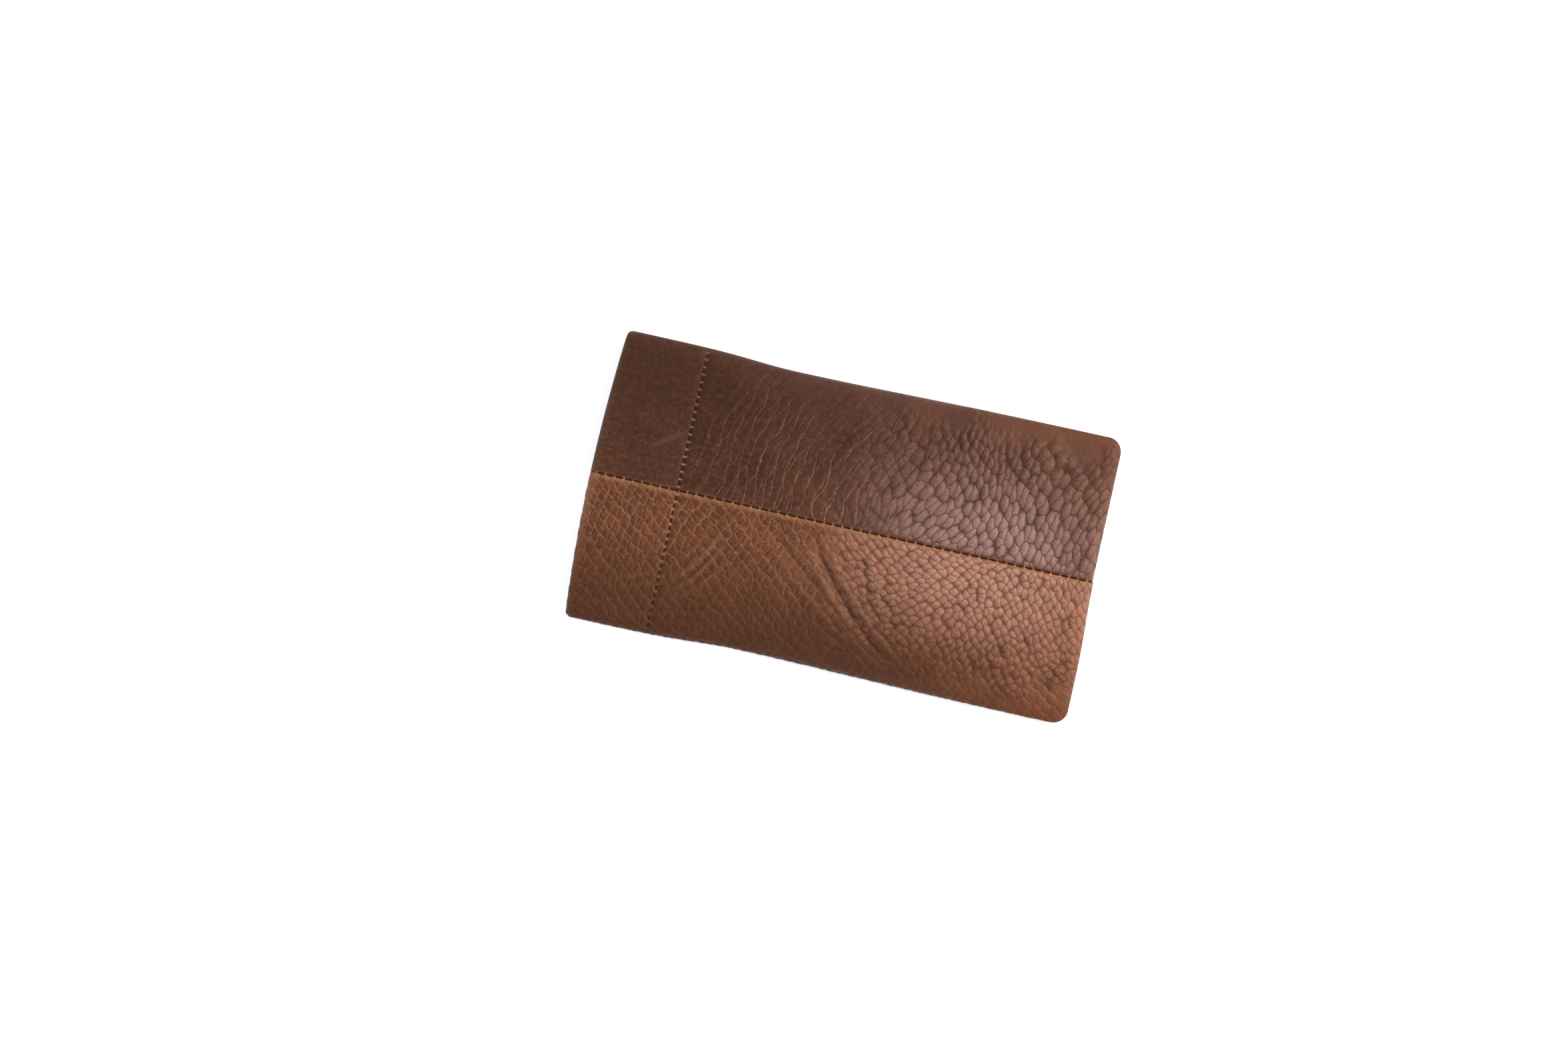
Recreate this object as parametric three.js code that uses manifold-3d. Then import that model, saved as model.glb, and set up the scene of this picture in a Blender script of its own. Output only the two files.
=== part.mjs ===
// A soft leather pouch for glasses whose mouth is held shut by a squeeze-to-open spring frame.
// Millimetres, +Z up. X runs from the mouth (-X) to the sewn bottom (+X), Y across the width.
// The pouch lies on its two back panels. The origin is under its middle, on the surface it lies on.
import * as THREE from 'three';
import { mergeVertices } from 'three/addons/utils/BufferGeometryUtils.js';
import Module from 'manifold-3d';

const wasm = await Module();
wasm.setup();

// Outline of the pouch.
const LENGTH = 190;
const MOUTH_WIDTH = 107.6;
const BOTTOM_WIDTH = 106.9;
const WAIST_PINCH = 1.5;
const WAIST_X = -30; // where the pouch is narrowest
const WAIST_REACH = { mouthward: 20, bottomward: 60 };
const MOUTH_BOW = 2.3; // the middle of the mouth stands this far out from its corners
const MOUTH_CORNER = 2;
const BOTTOM_CORNER = 5.5;
const UPPER_SHORTFALL = 1.5; // the upper panels end this far short of the lower ones

// Height of the pouch. Front and back panels meet at the seam plane, all round the edge.
const SEAM_PLANE = 4.1;
const BODY_RISE = 6.4; // how much higher the front stands in the middle than at the mouth
const MOUTH_FLAT = 0.86; // share of the half width that is level, by the mouth
const BODY_FLAT = 0.15; // the same, in the middle of the front
const BACK_FLAT = 0.86; // the same, on the back
const ROUND_POWER = 2.5;
const MOUTH_ROLL = 2.8;
const BOTTOM_ROLL = 5;

// Leather, seams and the channel for the spring.
const LEATHER = 1.6;
const SEAM_GAP = 0.15; // half of the gap between two panels
const CENTRE_GAP = 0.2;
const VALLEY = [
  { y: CENTRE_GAP, depth: 1.3 },
  { y: 0.9, depth: 0.6 },
  { y: 1.6, depth: 0 },
];
const CHANNEL_X = -62.2; // the line of stitching that closes the channel
const GROOVE_HALF = 2;
const GROOVE_DEPTH = 1.1;
const HEM_LOW = 0.2;
const HEM_HIGH = 1.1;
const HEM_END_HIGH = 1.5;
const HEM_END = 1.8; // how far the hem reaches either side of the stitching
const HEM_SIDE = 44.5;

// Spring frame: two steel leaves, each in two halves, on a pin at either side.
const LEAF_X = -89.3;
const LEAF_WIDTH = 13;
const LEAF_LOW = 1.5;
const LEAF_HIGH = 2;
const LEAF_MIDDLE = 2.4; // where each half ends, short of the centre line
const LEAF_SIDE = 45.2;
const PIN_Y = 48.2;
const PIN_RADIUS = 1.2;
const PIN_HEAD_RADIUS = 1.6;
const PIN_HEAD = 0.5;
const KNUCKLE_PLAY = 0.3;
const KNUCKLE_GAP = 0.2; // half of the gap between two knuckles

// Thread.
const THREAD = 0.3;
const CENTRE_THREAD_DEPTH = 0.5;
const CHANNEL_THREAD_DEPTH = 0.35;
const EDGE_THREAD_INSET = 2.4;

// How finely the leather is divided.
const END_STEPS = 4;
const CHANNEL_STEPS = 3;
const BODY_STEPS = 12;
const WIDTH_PARTS = [0.2, 0.4, 0.6, 0.75, 0.86, 0.91, 0.95, 0.98, 1];

const UPPER = 1;
const LOWER = -1;
const FRONT = 1;
const BACK = -1;

const { clamp, lerp, smoothstep } = THREE.MathUtils;

function halfWidth(x) {
  const along = (x + LENGTH / 2) / LENGTH;
  const reach = x < WAIST_X ? WAIST_REACH.mouthward : WAIST_REACH.bottomward;
  const waist = Math.exp(-(((x - WAIST_X) / reach) ** 2));
  return lerp(MOUTH_WIDTH, BOTTOM_WIDTH, along) / 2 - WAIST_PINCH * waist;
}

function cornerDrop(part, radius) {
  const start = 1 - (2 * radius) / MOUTH_WIDTH;
  const turn = clamp((part - start) / (1 - start), 0, 1);
  return radius * (1 - Math.sqrt(1 - turn ** 2));
}

// The two ends of a panel, at a share of the half width from the centre line.
function mouthEdge(part) {
  return -LENGTH / 2 + MOUTH_BOW * part ** 2 + cornerDrop(part, MOUTH_CORNER);
}

function bottomEdge(part, side) {
  const shortfall = side === UPPER ? UPPER_SHORTFALL : 0;
  return LENGTH / 2 - shortfall - cornerDrop(part, BOTTOM_CORNER);
}

// How far along the body a place is: 0 at the channel stitching, 1 at the bottom.
function alongBody(x) {
  return clamp((x - CHANNEL_X) / (LENGTH / 2 - CHANNEL_X), 0, 1);
}

function crown(x, face) {
  if (face === BACK) {
    return SEAM_PLANE;
  }
  return SEAM_PLANE + BODY_RISE * Math.sin(Math.PI * alongBody(x) ** 0.85) ** 1.3;
}

// The panel is level in the middle and rounds down to the seam plane at the side.
function sideRound(x, part, face) {
  const bodyShare = smoothstep(alongBody(x), 0, 0.3);
  const flat = face === BACK ? BACK_FLAT : lerp(MOUTH_FLAT, BODY_FLAT, bodyShare);
  const turn = clamp((part - flat) / (1 - flat), 0, 1);
  return Math.sqrt(1 - turn ** ROUND_POWER);
}

// The panels sink into the centre seam, and along the channel stitching.
function valleyDepth(part, x) {
  const y = part * halfWidth(x);
  const after = VALLEY.findIndex((point) => point.y >= y);
  if (after < 0) {
    return 0;
  }
  const high = VALLEY[after];
  const low = VALLEY[Math.max(after - 1, 0)];
  return low === high ? high.depth : lerp(low.depth, high.depth, (y - low.y) / (high.y - low.y));
}

function grooveDepth(x) {
  return GROOVE_DEPTH * clamp(1 - Math.abs(x - CHANNEL_X) / GROOVE_HALF, 0, 1);
}

// Places along a panel from mouth to bottom. `rise` is how far the rolled end has come up.
function lengthPlaces(side, inset) {
  const places = [];
  for (let step = 0; step < END_STEPS; step += 1) {
    const turn = (Math.PI / 2) * (step / END_STEPS);
    const back = inset + (MOUTH_ROLL - inset) * (1 - Math.cos(turn));
    places.push({ x: (part) => mouthEdge(part) + back, rise: Math.sin(turn) });
  }
  for (let step = 0; step <= CHANNEL_STEPS; step += 1) {
    const share = step / CHANNEL_STEPS;
    places.push({
      x: (part) => lerp(mouthEdge(part) + MOUTH_ROLL, CHANNEL_X - GROOVE_HALF, share),
      rise: 1,
    });
  }
  places.push({ x: () => CHANNEL_X, rise: 1 });
  for (let step = 0; step <= BODY_STEPS; step += 1) {
    const share = step / BODY_STEPS;
    places.push({
      x: (part) => lerp(CHANNEL_X + GROOVE_HALF, bottomEdge(part, side) - BOTTOM_ROLL, share),
      rise: 1,
    });
  }
  for (let step = END_STEPS - 1; step >= 0; step -= 1) {
    const turn = (Math.PI / 2) * (step / END_STEPS);
    const back = inset + (BOTTOM_ROLL - inset) * (1 - Math.cos(turn));
    places.push({ x: (part) => bottomEdge(part, side) - back, rise: Math.sin(turn) });
  }
  return places;
}

function panelPoint(place, column, side, face, inset) {
  const nominal = column.part ?? column.y / (MOUTH_WIDTH / 2);
  const x = place.x(nominal);
  const half = halfWidth(x) - inset;
  const y = column.part === undefined ? column.y : column.part * half;
  const part = y / half;
  const sunk = valleyDepth(y / halfWidth(x), x) + grooveDepth(x);
  const full = crown(x, face) - SEAM_GAP - inset - sunk;
  const height = SEAM_GAP + place.rise * sideRound(x, part, face) * full;
  return new THREE.Vector3(x, side * y, SEAM_PLANE + face * height);
}

// A closed solid between two grids of points, rows along X and columns along Y.
function solidBetween(outer, inner) {
  const rows = outer.length;
  const columns = outer[0].length;
  const positions = [];
  for (const grid of [outer, inner]) {
    grid.flat().forEach((point) => positions.push(point.x, point.y, point.z));
  }
  const at = (layer, row, column) => (layer * rows + row) * columns + column;
  const index = [];
  const quad = (a, b, c, d) => index.push(a, b, c, a, c, d);
  for (let row = 0; row < rows - 1; row += 1) {
    for (let column = 0; column < columns - 1; column += 1) {
      const corners = [[row, column], [row + 1, column], [row + 1, column + 1], [row, column + 1]];
      quad(...corners.map(([r, c]) => at(0, r, c)));
      quad(...corners.reverse().map(([r, c]) => at(1, r, c)));
    }
    const last = columns - 1;
    quad(at(0, row, 0), at(1, row, 0), at(1, row + 1, 0), at(0, row + 1, 0));
    quad(at(0, row, last), at(0, row + 1, last), at(1, row + 1, last), at(1, row, last));
  }
  for (let column = 0; column < columns - 1; column += 1) {
    const last = rows - 1;
    quad(at(0, 0, column), at(0, 0, column + 1), at(1, 0, column + 1), at(1, 0, column));
    quad(at(0, last, column), at(1, last, column), at(1, last, column + 1), at(0, last, column + 1));
  }
  const geometry = new THREE.BufferGeometry();
  geometry.setAttribute('position', new THREE.Float32BufferAttribute(positions, 3));
  geometry.setIndex(index);
  return facingOut(geometry);
}

function signedVolume(geometry) {
  const position = geometry.getAttribute('position');
  const corner = [new THREE.Vector3(), new THREE.Vector3(), new THREE.Vector3()];
  let volume = 0;
  for (let first = 0; first < geometry.index.count; first += 3) {
    corner.forEach((point, k) => point.fromBufferAttribute(position, geometry.index.getX(first + k)));
    volume += corner[0].dot(corner[1].clone().cross(corner[2])) / 6;
  }
  return volume;
}

function facingOut(geometry) {
  if (signedVolume(geometry) < 0) {
    const index = Array.from(geometry.index.array);
    geometry.setIndex(index.reverse());
  }
  return geometry;
}

// Only the positions of a shape, with the vertices that its faces share merged.
function bareGeometry(geometry) {
  const bare = geometry.clone();
  bare.deleteAttribute('normal');
  bare.deleteAttribute('uv');
  return facingOut(mergeVertices(bare, 1e-4));
}

function toSolid(geometry) {
  const bare = bareGeometry(geometry);
  return new wasm.Manifold(new wasm.Mesh({
    numProp: 3,
    vertProperties: bare.getAttribute('position').array,
    triVerts: new Uint32Array(bare.index.array),
  }));
}

function toGeometry(solid) {
  const mesh = solid.getMesh();
  const geometry = new THREE.BufferGeometry();
  geometry.setAttribute('position', new THREE.Float32BufferAttribute(mesh.vertProperties, 3));
  geometry.setIndex(Array.from(mesh.triVerts));
  return geometry;
}

// The hem is the turned-in end of a panel. It makes the spring's channel with the panel above it,
// and its end rises to meet the panel under the channel stitching.
function hem(side, face) {
  const columns = [CENTRE_GAP, HEM_SIDE / 3, (2 * HEM_SIDE) / 3, HEM_SIDE];
  const point = (x, y, height) => new THREE.Vector3(x, side * y, SEAM_PLANE + face * height);
  const start = (y) => mouthEdge((2 * y) / MOUTH_WIDTH) + LEATHER / 2;
  const under = CHANNEL_X - HEM_END;
  const end = CHANNEL_X + HEM_END;
  const strip = solidBetween(
    [start, () => end].map((x) => columns.map((y) => point(x(y), y, HEM_HIGH))),
    [start, () => end].map((x) => columns.map((y) => point(x(y), y, HEM_LOW))),
  );
  const rise = solidBetween(
    [under, end].map((x) => columns.map((y) => point(x, y, HEM_END_HIGH))),
    [under, end].map((x) => columns.map((y) => point(x, y, (HEM_LOW + HEM_HIGH) / 2))),
  );
  return toSolid(strip).add(toSolid(rise));
}

function panel(side, face) {
  const columns = [
    ...VALLEY.map((point) => ({ y: point.y })),
    ...WIDTH_PARTS.map((part) => ({ part })),
  ];
  const grid = (inset) => lengthPlaces(side, inset).map((place) => (
    columns.map((column) => panelPoint(place, column, side, face, inset))
  ));
  const shell = solidBetween(grid(0), grid(LEATHER));
  return toGeometry(toSolid(shell).add(hem(side, face)));
}

// A flat shape drawn in (Y, height above the seam plane), made `width` long along X.
function alongX(shape, x, width) {
  const geometry = new THREE.ExtrudeGeometry(shape, { depth: width, bevelEnabled: false, curveSegments: 5 });
  const turn = new THREE.Matrix4().makeBasis(
    new THREE.Vector3(0, 1, 0),
    new THREE.Vector3(0, 0, 1),
    new THREE.Vector3(1, 0, 0),
  );
  return geometry.applyMatrix4(turn).translate(x, 0, 0);
}

function rectangle(left, low, right, high) {
  const corners = [[left, low], [right, low], [right, high], [left, high]];
  return new THREE.Shape(corners.map(([y, z]) => new THREE.Vector2(y, z)));
}

function knuckle(x, width) {
  const ring = new THREE.Shape().absarc(PIN_Y, 0, LEAF_HIGH, 0, 2 * Math.PI, false);
  ring.holes.push(new THREE.Path().absarc(PIN_Y, 0, PIN_RADIUS + KNUCKLE_PLAY, 0, 2 * Math.PI, true));
  const tab = rectangle(LEAF_SIDE - 1, LEAF_LOW, PIN_Y, LEAF_HIGH);
  return toSolid(alongX(ring, x, width)).add(toSolid(alongX(tab, x, width)));
}

// Half a leaf. The front leaf has the two outer knuckles on the pin, the back leaf the middle one.
function leaf(side, face) {
  const third = LEAF_WIDTH / 3;
  const firstThirds = face === FRONT ? [0, 2] : [1];
  let solid = toSolid(alongX(rectangle(LEAF_MIDDLE, LEAF_LOW, LEAF_SIDE, LEAF_HIGH), LEAF_X, LEAF_WIDTH));
  for (const place of firstThirds) {
    const x = LEAF_X + place * third + KNUCKLE_GAP;
    solid = solid.add(knuckle(x, third - 2 * KNUCKLE_GAP));
  }
  const geometry = toGeometry(solid).scale(1, side, face).translate(0, 0, SEAM_PLANE);
  return facingOut(geometry);
}

function pin(side) {
  const half = LEAF_WIDTH / 2 + KNUCKLE_PLAY;
  const profile = [
    [0, -half - PIN_HEAD],
    [PIN_HEAD_RADIUS * 0.7, -half - PIN_HEAD],
    [PIN_HEAD_RADIUS, -half - PIN_HEAD * 0.4],
    [PIN_HEAD_RADIUS, -half],
    [PIN_RADIUS, -half],
    [PIN_RADIUS, half],
    [PIN_HEAD_RADIUS, half],
    [PIN_HEAD_RADIUS, half + PIN_HEAD * 0.4],
    [PIN_HEAD_RADIUS * 0.7, half + PIN_HEAD],
    [0, half + PIN_HEAD],
  ];
  const turned = new THREE.LatheGeometry(profile.map(([r, h]) => new THREE.Vector2(r, h)), 16);
  turned.rotateZ(-Math.PI / 2);
  turned.translate(LEAF_X + LEAF_WIDTH / 2, side * PIN_Y, SEAM_PLANE);
  return bareGeometry(turned);
}

function thread(points, steps) {
  const section = new THREE.Shape();
  const corners = 6;
  for (let corner = 0; corner < corners; corner += 1) {
    const turn = (2 * Math.PI * corner) / corners;
    const action = corner === 0 ? 'moveTo' : 'lineTo';
    section[action](THREAD * Math.cos(turn), THREAD * Math.sin(turn));
  }
  section.closePath();
  const path = new THREE.CatmullRomCurve3(points);
  return bareGeometry(new THREE.ExtrudeGeometry(section, { extrudePath: path, steps }));
}

// Places from one value to another, in equal steps.
function spread(from, to, steps) {
  return Array.from({ length: steps + 1 }, (_, step) => lerp(from, to, step / steps));
}

function centreStitching(face) {
  const steps = 26;
  const start = -LENGTH / 2 + MOUTH_ROLL + THREAD;
  const end = LENGTH / 2 - UPPER_SHORTFALL - BOTTOM_ROLL;
  const points = spread(start, end, steps).map((x) => {
    const depth = CENTRE_THREAD_DEPTH + grooveDepth(x);
    return new THREE.Vector3(x, 0, SEAM_PLANE + face * (crown(x, face) - depth));
  });
  return thread(points, 2 * steps);
}

function channelStitching(side, face) {
  const height = SEAM_PLANE + face * (SEAM_PLANE - CHANNEL_THREAD_DEPTH);
  const end = Math.min(MOUTH_FLAT, BACK_FLAT) * halfWidth(CHANNEL_X);
  const start = VALLEY.at(-1).y;
  const points = spread(start, end, 4).map((y) => new THREE.Vector3(CHANNEL_X, side * y, height));
  return thread(points, 8);
}

function sideStitching(side) {
  const start = CHANNEL_X + 3 * HEM_END;
  const end = LENGTH / 2 - 2 * BOTTOM_CORNER;
  const points = spread(start, end, 12).map((x) => (
    new THREE.Vector3(x, side * (halfWidth(x) - EDGE_THREAD_INSET), SEAM_PLANE)
  ));
  return thread(points, 24);
}

function bottomStitching() {
  const x = LENGTH / 2 - UPPER_SHORTFALL - EDGE_THREAD_INSET;
  const end = BOTTOM_WIDTH / 2 - 1.5 * BOTTOM_CORNER;
  const points = spread(-end, end, 4).map((y) => new THREE.Vector3(x, y, SEAM_PLANE));
  return thread(points, 8);
}

const LOOKS = {
  darkLeather: { color: 0x4d2c20, roughness: 0.62, metalness: 0 },
  lightLeather: { color: 0x7a4628, roughness: 0.58, metalness: 0 },
  thread: { color: 0x2e1a12, roughness: 0.8, metalness: 0 },
  springSteel: { color: 0xa9abae, roughness: 0.32, metalness: 1 },
};

const pouch = new THREE.Group();

function addPiece(name, geometry, look) {
  const mesh = new THREE.Mesh(geometry, new THREE.MeshStandardMaterial(LOOKS[look]));
  mesh.name = name;
  pouch.add(mesh);
}

for (const [faceName, face] of [['front', FRONT], ['back', BACK]]) {
  for (const [sideName, side] of [['upper', UPPER], ['lower', LOWER]]) {
    const leather = side === UPPER ? 'darkLeather' : 'lightLeather';
    addPiece(`${faceName}_${sideName}_panel`, panel(side, face), leather);
    addPiece(`${faceName}_${sideName}_channel_stitching`, channelStitching(side, face), 'thread');
    addPiece(`${faceName}_${sideName}_spring_leaf`, leaf(side, face), 'springSteel');
  }
  addPiece(`${faceName}_centre_stitching`, centreStitching(face), 'thread');
}
for (const [sideName, side] of [['upper', UPPER], ['lower', LOWER]]) {
  addPiece(`${sideName}_hinge_pin`, pin(side), 'springSteel');
  addPiece(`${sideName}_side_stitching`, sideStitching(side), 'thread');
}
addPiece('bottom_stitching', bottomStitching(), 'thread');

export default pouch;
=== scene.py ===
import math
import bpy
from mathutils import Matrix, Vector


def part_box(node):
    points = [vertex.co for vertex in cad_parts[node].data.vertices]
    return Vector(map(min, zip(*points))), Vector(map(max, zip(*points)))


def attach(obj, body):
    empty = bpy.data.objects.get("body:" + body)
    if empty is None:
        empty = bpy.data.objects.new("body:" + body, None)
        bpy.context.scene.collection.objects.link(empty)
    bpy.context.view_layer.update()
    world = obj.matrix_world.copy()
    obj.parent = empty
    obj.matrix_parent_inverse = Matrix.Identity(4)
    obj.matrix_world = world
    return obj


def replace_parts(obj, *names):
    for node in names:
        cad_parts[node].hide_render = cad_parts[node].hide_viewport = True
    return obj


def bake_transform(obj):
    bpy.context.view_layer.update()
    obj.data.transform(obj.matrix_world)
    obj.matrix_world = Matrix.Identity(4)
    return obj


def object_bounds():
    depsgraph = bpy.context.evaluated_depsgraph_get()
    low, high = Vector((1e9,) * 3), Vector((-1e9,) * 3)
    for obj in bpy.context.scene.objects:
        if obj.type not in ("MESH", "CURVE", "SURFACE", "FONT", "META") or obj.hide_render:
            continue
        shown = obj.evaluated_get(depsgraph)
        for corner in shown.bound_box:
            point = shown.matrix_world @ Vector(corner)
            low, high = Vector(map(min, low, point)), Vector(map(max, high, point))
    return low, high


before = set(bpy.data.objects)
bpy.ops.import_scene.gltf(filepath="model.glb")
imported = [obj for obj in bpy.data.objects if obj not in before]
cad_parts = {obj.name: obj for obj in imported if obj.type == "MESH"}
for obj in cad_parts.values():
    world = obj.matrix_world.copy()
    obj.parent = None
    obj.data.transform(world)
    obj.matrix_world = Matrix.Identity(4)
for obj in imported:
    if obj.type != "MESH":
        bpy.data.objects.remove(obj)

from types import SimpleNamespace

import bmesh
import bpy
import numpy as np
from mathutils import Vector

CAD_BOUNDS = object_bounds()

# The shape is worked out in millimetres, in the frame's own axes, and scaled to metres in to_mesh().
MM = 0.001

# Driving dimensions, from the frame.
CAD_LOW, CAD_HIGH = (np.array(corner) / MM for corner in CAD_BOUNDS)
LOWER_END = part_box("front_lower_panel")[1][0] / MM
UPPER_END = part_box("front_upper_panel")[1][0] / MM
CHANNEL_X = sum(corner[0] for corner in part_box("front_upper_channel_stitching")) / 2 / MM
PIN_LOW, PIN_HIGH = (np.array(corner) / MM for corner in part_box("upper_hinge_pin"))
LEAF_LOW, LEAF_HIGH = (np.array(corner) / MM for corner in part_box("front_upper_spring_leaf"))

LENGTH = CAD_HIGH[0] - CAD_LOW[0]
MOUTH_X = CAD_LOW[0]
SEAM_PLANE = (PIN_LOW[2] + PIN_HIGH[2]) / 2
BODY_RISE = CAD_HIGH[2] - 2 * SEAM_PLANE

# Outline.
MOUTH_WIDTH = 107.6
BOTTOM_WIDTH = 106.9
WAIST_PINCH = 1.5
WAIST_X = -30.0
WAIST_MOUTHWARD = 20.0
WAIST_BOTTOMWARD = 60.0
MOUTH_BOW = 2.3
MOUTH_CORNER = 2.0
BOTTOM_CORNER = 5.5
LOWER_SLANT = 1.1
MOUTH_ROLL = 2.4
BOTTOM_ROLL = 5.0
MOUTH_FLAT = 0.86
BODY_FLAT = 0.15
ROUND_POWER = 2.5

# Leather and seams.
LEATHER = 1.4
HEM_LEATHER = 0.8
LIP_LEATHER = 0.2
SEAM_GAP = 0.03
SEAM_LIP = 0.9
SEAM_TUCK = 0.5
SEAM_ALLOWANCE = 3.0
SHORT_ALLOWANCE = 0.1
CENTRE_GAP = 0.0
SHOULDER = 1.4
VALLEY = 1.05
HEM_GAP = 0.3
HEM_SIDE = 44.5
HEM_END = CHANNEL_X + 2.0
GROOVE = 0.45
GROOVE_REACH = 1.3

# How much the leather rises or sinks, at most, for each cause.
BODY_UNEVENNESS = 0.45
FINE_UNEVENNESS = 0.12
SEAM_RIDGE = 0.22
CHANNEL_RIDGE = 0.05
CHANNEL_PUCKER = 0.28

# How finely the panels are divided. A turn over 1 is the edge of the seam allowance.
PANEL_STEP = {"front": 0.56, "back": 0.85}
SHOULDER_ZONE = 2.2
SHOULDER_COLUMNS = 8
HEM_ROWS = 11
MOUTH_ROWS = 12
BOTTOM_ROWS = 12
EDGE_TURNS = (0.45, 0.8, 1.0, 2.0)
END_TURNS = (0.45, 0.8, 1.0)

# Stitches.
CENTRE_PITCH = 3.4
CENTRE_STITCH = 2.5
CHANNEL_PITCH = 2.8
CHANNEL_STITCH = 1.75
THREAD_RADIUS = 0.22
STITCH_ARCH = 0.42
STITCH_SUNK = 0.40
CENTRE_THREAD_DEPTH = 0.42
CHANNEL_THREAD_LIFT = 0.1
EDGE_THREAD_INSET = LEATHER + 1.0

# How long the pieces are that a spring leaf is cut into.
LEAF_STEP = 2.0

UPPER, LOWER = 1, -1
FRONT, BACK = 1, -1
SIDES = {"upper": UPPER, "lower": LOWER}
FACES = {"front": FRONT, "back": BACK}


# ---------------------------------------------------------------- small maths

def smooth(value, low, high):
    """0 below low, 1 above high, and smooth between them. low may be the greater."""
    share = np.clip((value - low) / (high - low), 0, 1)
    return share * share * (3 - 2 * share)


def mix(a, b, share):
    return a + (b - a) * share


# ---------------------------------------------------------------- shape of the pouch

def half_width(x):
    along = (x - MOUTH_X) / LENGTH
    reach = np.where(x < WAIST_X, WAIST_MOUTHWARD, WAIST_BOTTOMWARD)
    waist = np.exp(-(((x - WAIST_X) / reach) ** 2))
    return mix(MOUTH_WIDTH, BOTTOM_WIDTH, along) / 2 - WAIST_PINCH * waist


def corner_drop(part, radius):
    start = 1 - 2 * radius / MOUTH_WIDTH
    turn = np.clip((part - start) / (1 - start), 0, 1)
    return radius * (1 - np.sqrt(1 - turn ** 2))


def mouth_edge(part):
    return MOUTH_X + MOUTH_BOW * part ** 2 + corner_drop(part, MOUTH_CORNER)


def bottom_edge(part, side):
    end = UPPER_END if side == UPPER else LOWER_END - LOWER_SLANT * smooth(part, 0.6, 0.0)
    return end - corner_drop(part, BOTTOM_CORNER)


def along_body(x):
    return np.clip((x - CHANNEL_X) / (LENGTH / 2 - CHANNEL_X), 0, 1)


def crown(x, face):
    """How high the middle of a face stands from the seam plane."""
    if face == BACK:
        return SEAM_PLANE + 0 * x
    return SEAM_PLANE + BODY_RISE * np.sin(np.pi * along_body(x) ** 0.85).clip(0) ** 1.3


def side_round(x, part, face):
    body_share = smooth(along_body(x), 0, 0.3)
    flat = MOUTH_FLAT + 0 * x if face == BACK else mix(MOUTH_FLAT, BODY_FLAT, body_share)
    turn = np.clip((part - flat) / (1 - flat), 0, 1)
    return np.sqrt(1 - turn ** ROUND_POWER)


def seam_sink(y):
    """How far a panel has curled down into the centre seam."""
    turn = np.clip(1 - (y - CENTRE_GAP) / SHOULDER, 0, 1)
    return VALLEY * (1 - np.sqrt(1 - turn ** 2.2))


def groove(x):
    """How far the channel stitching pulls the leather in."""
    return GROOVE * np.exp(-(((x - CHANNEL_X) / GROOVE_REACH) ** 2))


def stitch_places(start, end, pitch):
    """Centres of the stitches of a row."""
    count = int((end - start) // pitch)
    return start + pitch * (np.arange(count) + 0.5)


CENTRE_ROW = (MOUTH_X + MOUTH_ROLL, UPPER_END - 2.0)
CHANNEL_ROW = (1.4, float(half_width(np.array(CHANNEL_X))) - 1.2)


def pucker(distance, along, start, pitch):
    """1 at the holes between two stitches, and 0 half a pitch away or well beside the row."""
    phase = np.cos(2 * np.pi * (along - start) / pitch) * 0.5 + 0.5
    return phase * np.exp(-((distance / 1.3) ** 2))


def fold(x, y, start, bend, end, width):
    """1 along a bent line from start to end, fading over width either side and at its ends."""
    steps = np.linspace(0, 1, 25)
    line = np.array([
        (1 - t) ** 2 * np.array(start) + 2 * t * (1 - t) * np.array(bend) + t ** 2 * np.array(end)
        for t in steps
    ])
    nearest = np.full(x.shape, 1e9)
    place = np.zeros(x.shape)
    for step in range(len(steps) - 1):
        a, b = line[step], line[step + 1]
        d = b - a
        share = np.clip(((x - a[0]) * d[0] + (y - a[1]) * d[1]) / (d @ d), 0, 1)
        away = np.hypot(x - a[0] - share * d[0], y - a[1] - share * d[1])
        closer = away < nearest
        nearest = np.where(closer, away, nearest)
        place = np.where(closer, (step + share) / (len(steps) - 1), place)
    ends = smooth(place, 0, 0.3) * smooth(place, 1, 0.7)
    return ends * np.exp(-((nearest / width) ** 2))


# Folds of the front, as (start, bend, end, width, height), in millimetres. Negative heights are creases.
LOWER_FOLDS = [
    ((-12, -2), (2, -28), (33, -50), 0.75, -0.62),
    ((-15, -3), (-1, -29), (29, -52), 1.3, 0.34),
    ((-9, -2), (6, -26), (37, -49), 1.3, 0.26),
    ((7, -2), (12, -20), (22, -40), 0.7, -0.36),
    ((10, -2), (15, -20), (25, -39), 1.1, 0.18),
    ((-27, -3), (-10, -22), (14, -38), 0.8, -0.28),
    ((-30, -4), (-13, -24), (10, -41), 1.2, 0.20),
    ((-61, -34), (-50, -30), (-41, -7), 0.9, 0.40),
    ((-61, -30), (-52, -26), (-45, -8), 0.7, -0.30),
    ((-61, -38), (-49, -34), (-38, -10), 0.8, 0.34),
    ((-61, -36), (-49, -32), (-40, -9), 0.6, -0.28),
    ((-59, -41), (-47, -37), (-36, -16), 0.9, 0.22),
    ((-60, -28), (-53, -24), (-47, -12), 0.8, 0.20),
    ((-79, -36), (-72, -35), (-63, -30), 0.8, 0.30),
    ((-77, -39), (-70, -38), (-63, -34), 0.8, 0.24),
    ((40, -3), (58, -20), (76, -46), 1.2, -0.3),
    ((52, -3), (68, -18), (84, -40), 1.2, -0.25),
]
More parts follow.
